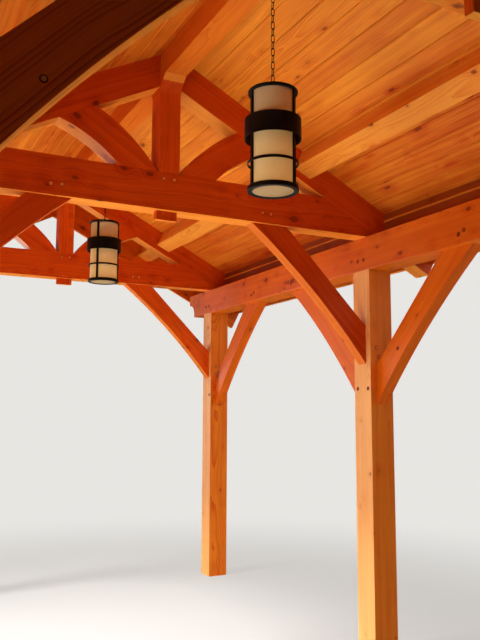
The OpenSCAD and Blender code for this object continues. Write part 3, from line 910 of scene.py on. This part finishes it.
def eased_box(radius_in, radius_out, low, high, ease):
    """Profile of a flat ring with eased corners."""
    return [
        (radius_in + ease, low),
        (radius_out - ease, low),
        (radius_out, low + ease),
        (radius_out, high - ease),
        (radius_out - ease, high),
        (radius_in + ease, high),
        (radius_in, high - ease),
        (radius_in, low + ease),
    ]


def loop_of_wire(work, height, radius, wire_radius, steps=28, sides=10):
    """Adds an upright ring of round wire in the XZ plane."""
    rows = []
    for step in range(steps):
        angle = step * math.tau / steps
        rows.append([])
        for side in range(sides):
            turn = side * math.tau / sides
            reach = radius + wire_radius * math.cos(turn)
            sideways, upwards = reach * math.cos(angle), height + reach * math.sin(angle)
            rows[-1].append(work.verts.new((sideways, wire_radius * math.sin(turn), upwards)))
    for index, row in enumerate(rows):
        before = rows[index - 1]
        for side in range(sides):
            work.faces.new((before[side - 1], row[side - 1], row[side], before[side]))


top_z = LANTERN_Z + LANTERN_H
EYE_RADIUS, WIRE_RADIUS, EYE_LIFT = 0.008, 0.002, 0.006
BAR_DEPTH, BAR_WIDTH, BAR_RADIUS, BAR_EASE = 0.0085, 0.016, 0.11125, 0.0015
STUD_RADIUS, STUD_LENGTH, STUD_PLACE = 0.005, 0.0165, 0.1228
BAND_MIDDLE, BAND_HALF = 0.296, 0.048
for place, y, first_bar in (("far", FAR_LANTERN_Y, 108.0), ("near", NEAR_LANTERN_Y, 61.0)):
    stand = Matrix.Translation((0.0, y, 0.0))
    work = bmesh.new()
    top_disc = eased_box(0.0005, 0.117, top_z - 0.016, top_z - 0.002, 0.003)
    boss = eased_box(0.0005, 0.020, top_z - 0.003, top_z, 0.001)
    foot_ring = eased_box(0.1035, 0.120, LANTERN_Z, LANTERN_Z + 0.022, 0.003)
    foot_lip = eased_box(0.096, 0.1045, LANTERN_Z + 0.0005, LANTERN_Z + 0.004, 0.001)
    thin_ring = eased_box(0.1145, 0.1205, LANTERN_Z + 0.127, LANTERN_Z + 0.140, 0.0015)
    for profile in (top_disc, boss, foot_ring, foot_lip, thin_ring):
        turned(work, profile)
    loop_of_wire(work, top_z + EYE_LIFT, EYE_RADIUS, WIRE_RADIUS)
    for index in range(3):
        bar = bmesh.ops.create_cube(work, size=1.0)["verts"]
        bmesh.ops.scale(work, verts=bar, vec=(BAR_DEPTH, BAR_WIDTH, LANTERN_H - 0.022))
        bmesh.ops.translate(work, verts=bar, vec=(BAR_RADIUS, 0.0, LANTERN_Z + LANTERN_H / 2))
        edges = list({edge for vertex in bar for edge in vertex.link_edges})
        eased = bmesh.ops.bevel(
            work, geom=edges, offset=BAR_EASE, offset_type="OFFSET", segments=2, profile=0.5
        )
        made = bmesh.ops.create_cone(
            work, cap_ends=True, segments=16, radius1=STUD_RADIUS, radius2=STUD_RADIUS, depth=STUD_LENGTH
        )
        stud = made["verts"]
        bmesh.ops.rotate(work, verts=stud, matrix=Matrix.Rotation(math.pi / 2, 3, "Y"))
        bmesh.ops.translate(work, verts=stud, vec=(STUD_PLACE, 0.0, LANTERN_Z + BAND_MIDDLE))
        bar = {vertex for face in eased["faces"] for vertex in face.verts}
        turn = Matrix.Rotation(math.radians(first_bar + 120.0 * index), 3, "Z")
        bmesh.ops.rotate(work, verts=list(bar | set(stud)), matrix=turn)
    bmesh.ops.remove_doubles(work, verts=work.verts, dist=1e-6)
    metal = finished(work, "frame")
    metal.transform(stand)
    keep(f"lantern_cage_{place}", metal, bronze, [f"lantern_{place}_frame"])

    work = bmesh.new()
    band_low, band_high = LANTERN_Z + BAND_MIDDLE - BAND_HALF, LANTERN_Z + BAND_MIDDLE + BAND_HALF
    turned(work, eased_box(0.1305, 0.133, band_low, band_high, 0.0008))
    metal = finished(work, "band")
    metal.transform(stand)
    keep(f"lantern_wide_band_{place}", metal, bronze, [f"lantern_{place}_band"])

    work = bmesh.new()
    cup_low, cup_high = LANTERN_Z + 0.004, top_z - 0.0165
    turned(
        work,
        [
            (0.0003, cup_low),
            (0.097, cup_low),
            (0.102, cup_low + 0.0015),
            (0.105, cup_low + 0.006),
            (0.105, cup_high),
            (0.101, cup_high),
            (0.101, cup_low + 0.009),
            (0.097, cup_low + 0.005),
            (0.0003, cup_low + 0.004),
        ],
    )
    glass = finished(work, "glass")
    glass.transform(stand)
    keep(f"lantern_cup_{place}", glass, frosted, [f"lantern_{place}_glass"])


# Chains. Each lantern hangs on welded oval links of round wire, each link turned a quarter from the
# last, between its own eye and that of a domed rose under the ridge beam.
RIDGE_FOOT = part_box("ridge_beam")[0][2]
ROSE_HEIGHT, ROSE_RADIUS = 0.024, 0.066
rose_eye = RIDGE_FOOT - ROSE_HEIGHT - 0.004
chain_top = rose_eye - EYE_RADIUS + WIRE_RADIUS
chain_low = top_z + EYE_LIFT + EYE_RADIUS - WIRE_RADIUS
LINK_COUNT = 17
link_pitch = (chain_top - chain_low) / LINK_COUNT
for place, y in (("far", FAR_LANTERN_Y), ("near", NEAR_LANTERN_Y)):
    chain = tree_with(
        "chain",
        Links="Int",
        Pitch="Float",
        Bend_radius="Float",
        Wire_radius="Float",
        Top="Vector",
        Material="Material",
    )
    circle, by_radius = "GeometryNodeCurvePrimitiveCircle", {"mode": "RADIUS"}
    bend, thickness = chain.also("Bend radius"), chain.also("Wire radius")
    oval = chain.node(circle, by_radius, {"Resolution": 24, "Radius": bend})
    oval = chain.node("GeometryNodeTransform", (), {"Geometry": oval, "Rotation": (math.pi / 2, 0.0, 0.0)})
    spread = chain.node("ShaderNodeSeparateXYZ", (), {0: chain.node("GeometryNodeInputPosition")})
    inner = chain.also("Pitch") + 0.0003 - (bend - thickness) * 2.0
    longer = chain.math("SIGN", spread.also("Z")) * inner * 0.5
    stretched = {"Geometry": oval, "Offset": chain.vector(0.0, 0.0, longer)}
    oval = chain.node("GeometryNodeSetPosition", (), stretched)
    round_wire = chain.node(circle, by_radius, {"Resolution": 10, "Radius": thickness})
    link = chain.node("GeometryNodeCurveToMesh", (), {"Curve": oval, "Profile Curve": round_wire})
    line = chain.node(
        "GeometryNodeMeshLine",
        (),
        {
            "Count": chain.also("Links"),
            "Start Location": chain.also("Top"),
            "Offset": chain.vector(0, 0, chain.also("Pitch") * -1.0),
        },
    )
    quarter = (1.0 - chain.math("MODULO", chain.node("GeometryNodeInputIndex"), 2.0)) * (math.pi / 2)
    in_turn = {"Points": line, "Instance": link, "Rotation": chain.vector(0.0, 0.0, quarter)}
    hung = chain.node("GeometryNodeInstanceOnPoints", (), in_turn)
    chain_mesh = grown(
        chain,
        hung,
        bpy.data.meshes.new("empty"),
        Links=LINK_COUNT,
        Pitch=link_pitch,
        Bend_radius=EYE_RADIUS,
        Wire_radius=WIRE_RADIUS,
        Top=(0.0, y, chain_top - link_pitch / 2),
        Material=bronze,
    )
    keep(f"lantern_links_{place}", chain_mesh, bronze, [f"lantern_{place}_chain"])

work = bmesh.new()
for y in (FAR_LANTERN_Y, NEAR_LANTERN_Y):
    begun = len(work.verts)
    dome = [
        (0.0003, RIDGE_FOOT - 0.001),
        (ROSE_RADIUS - 0.001, RIDGE_FOOT - 0.001),
        (ROSE_RADIUS, RIDGE_FOOT - 0.003),
        (ROSE_RADIUS, RIDGE_FOOT - 0.007),
        (ROSE_RADIUS - 0.004, RIDGE_FOOT - 0.008),
    ]
    for step in range(1, 9):
        angle = step * math.pi / 16
        dome.append(((ROSE_RADIUS - 0.006) * math.cos(angle), RIDGE_FOOT - 0.008 - 0.016 * math.sin(angle)))
    dome[-1] = (0.0003, RIDGE_FOOT - ROSE_HEIGHT)
    turned(work, dome)
    loop_of_wire(work, rose_eye, EYE_RADIUS, WIRE_RADIUS)
    work.verts.ensure_lookup_table()
    bmesh.ops.translate(work, verts=work.verts[begun:], vec=(0.0, y, 0.0))
bmesh.ops.remove_doubles(work, verts=work.verts, dist=1e-6)
keep("ceiling_roses", finished(work, "roses"), bronze, ["lantern_roses"])


# Studio. A plain pale floor, a pale surround, and soft lamps outside the canopy: a high one on each side,
# whose light the floor throws up to the ceiling, and two lower ones, beyond the gable and on the left.
BACKDROP = paint(232, 230, 226)
floor_material, shader, wire = surface("studio_floor", 0.9)
shader.inputs["Specular IOR Level"].default_value = 0.0
spot = wire.node("ShaderNodeTexCoord", out="Object")
seen = wire.node("ShaderNodeLightPath", out="Is Camera Ray")
pale = wire.blend(wire.noise(spot, 0.7, 2.0), paint(176, 173, 169), paint(181, 178, 174))
feed(shader, Base_Color=wire.blend(seen, paint(222, 219, 214), pale))
away = wire.node("ShaderNodeVectorMath", {"operation": "LENGTH"}, {0: spot}, out="Value")
glow = wire.node("ShaderNodeEmission", (), {"Color": BACKDROP})
shaded = Wire(wire.tree, shader.outputs["BSDF"])
haze = (away.between(2.2, 7.5) * 0.35 + 0.65) * seen
faded = wire.node("ShaderNodeMixShader", (), {0: haze, 1: shaded, 2: glow})
wire.tree.links.new(faded.socket, wire.tree.nodes["Material Output"].inputs["Surface"])
floor_mesh = bpy.data.meshes.new("floor")
floor_mesh.from_pydata([(-40, -40, 0), (40, -40, 0), (40, 40, 0), (-40, 40, 0)], [], [(0, 1, 2, 3)])
floor_mesh.materials.append(floor_material)
floor = bpy.data.objects.new("studio_floor", floor_mesh)
bpy.context.scene.collection.objects.link(floor)

world = bpy.data.worlds.new("studio")
bpy.context.scene.world = world
world.use_nodes = True
sky = Wire(world.node_tree)
ray = sky.node("ShaderNodeLightPath", out="Is Camera Ray")
seen = sky.math("MAXIMUM", ray, ray.also("Is Transmission Ray"))
background = world.node_tree.nodes["Background"]
colour = sky.blend(seen, paint(70, 70, 71), BACKDROP)
world.node_tree.links.new(colour.socket, background.inputs["Color"])
background.inputs["Strength"].default_value = 1.0


def lamp(name, place, aim, size, watts, spread=180.0):
    light = bpy.data.lights.new(name, "AREA")
    light.shape = "DISK"
    light.size = size
    light.spread = math.radians(spread)
    light.energy = watts
    stand = bpy.data.objects.new(name, light)
    look = (Vector(aim) - Vector(place)).to_track_quat("-Z", "Y").to_matrix().to_4x4()
    stand.matrix_world = Matrix.Translation(place) @ look
    bpy.context.scene.collection.objects.link(stand)


lamp("left_lamp", (-8.0, 1.0, 6.5), (-0.3, 0.8, 0.0), 2.0, 250.0, spread=40.0)
lamp("far_lamp", (-3.0, 9.0, 1.6), (0.5, 0.0, 2.8), 4.0, 290.0)
lamp("right_lamp", (8.0, -2.0, 4.5), (0.5, -1.0, 0.5), 4.0, 225.0)
lamp("low_lamp", (-3.8, -1.9, 0.3), (0.3, 0.2, 3.4), 1.6, 27.0, spread=110.0)

bpy.context.scene.view_settings.view_transform = "Standard"
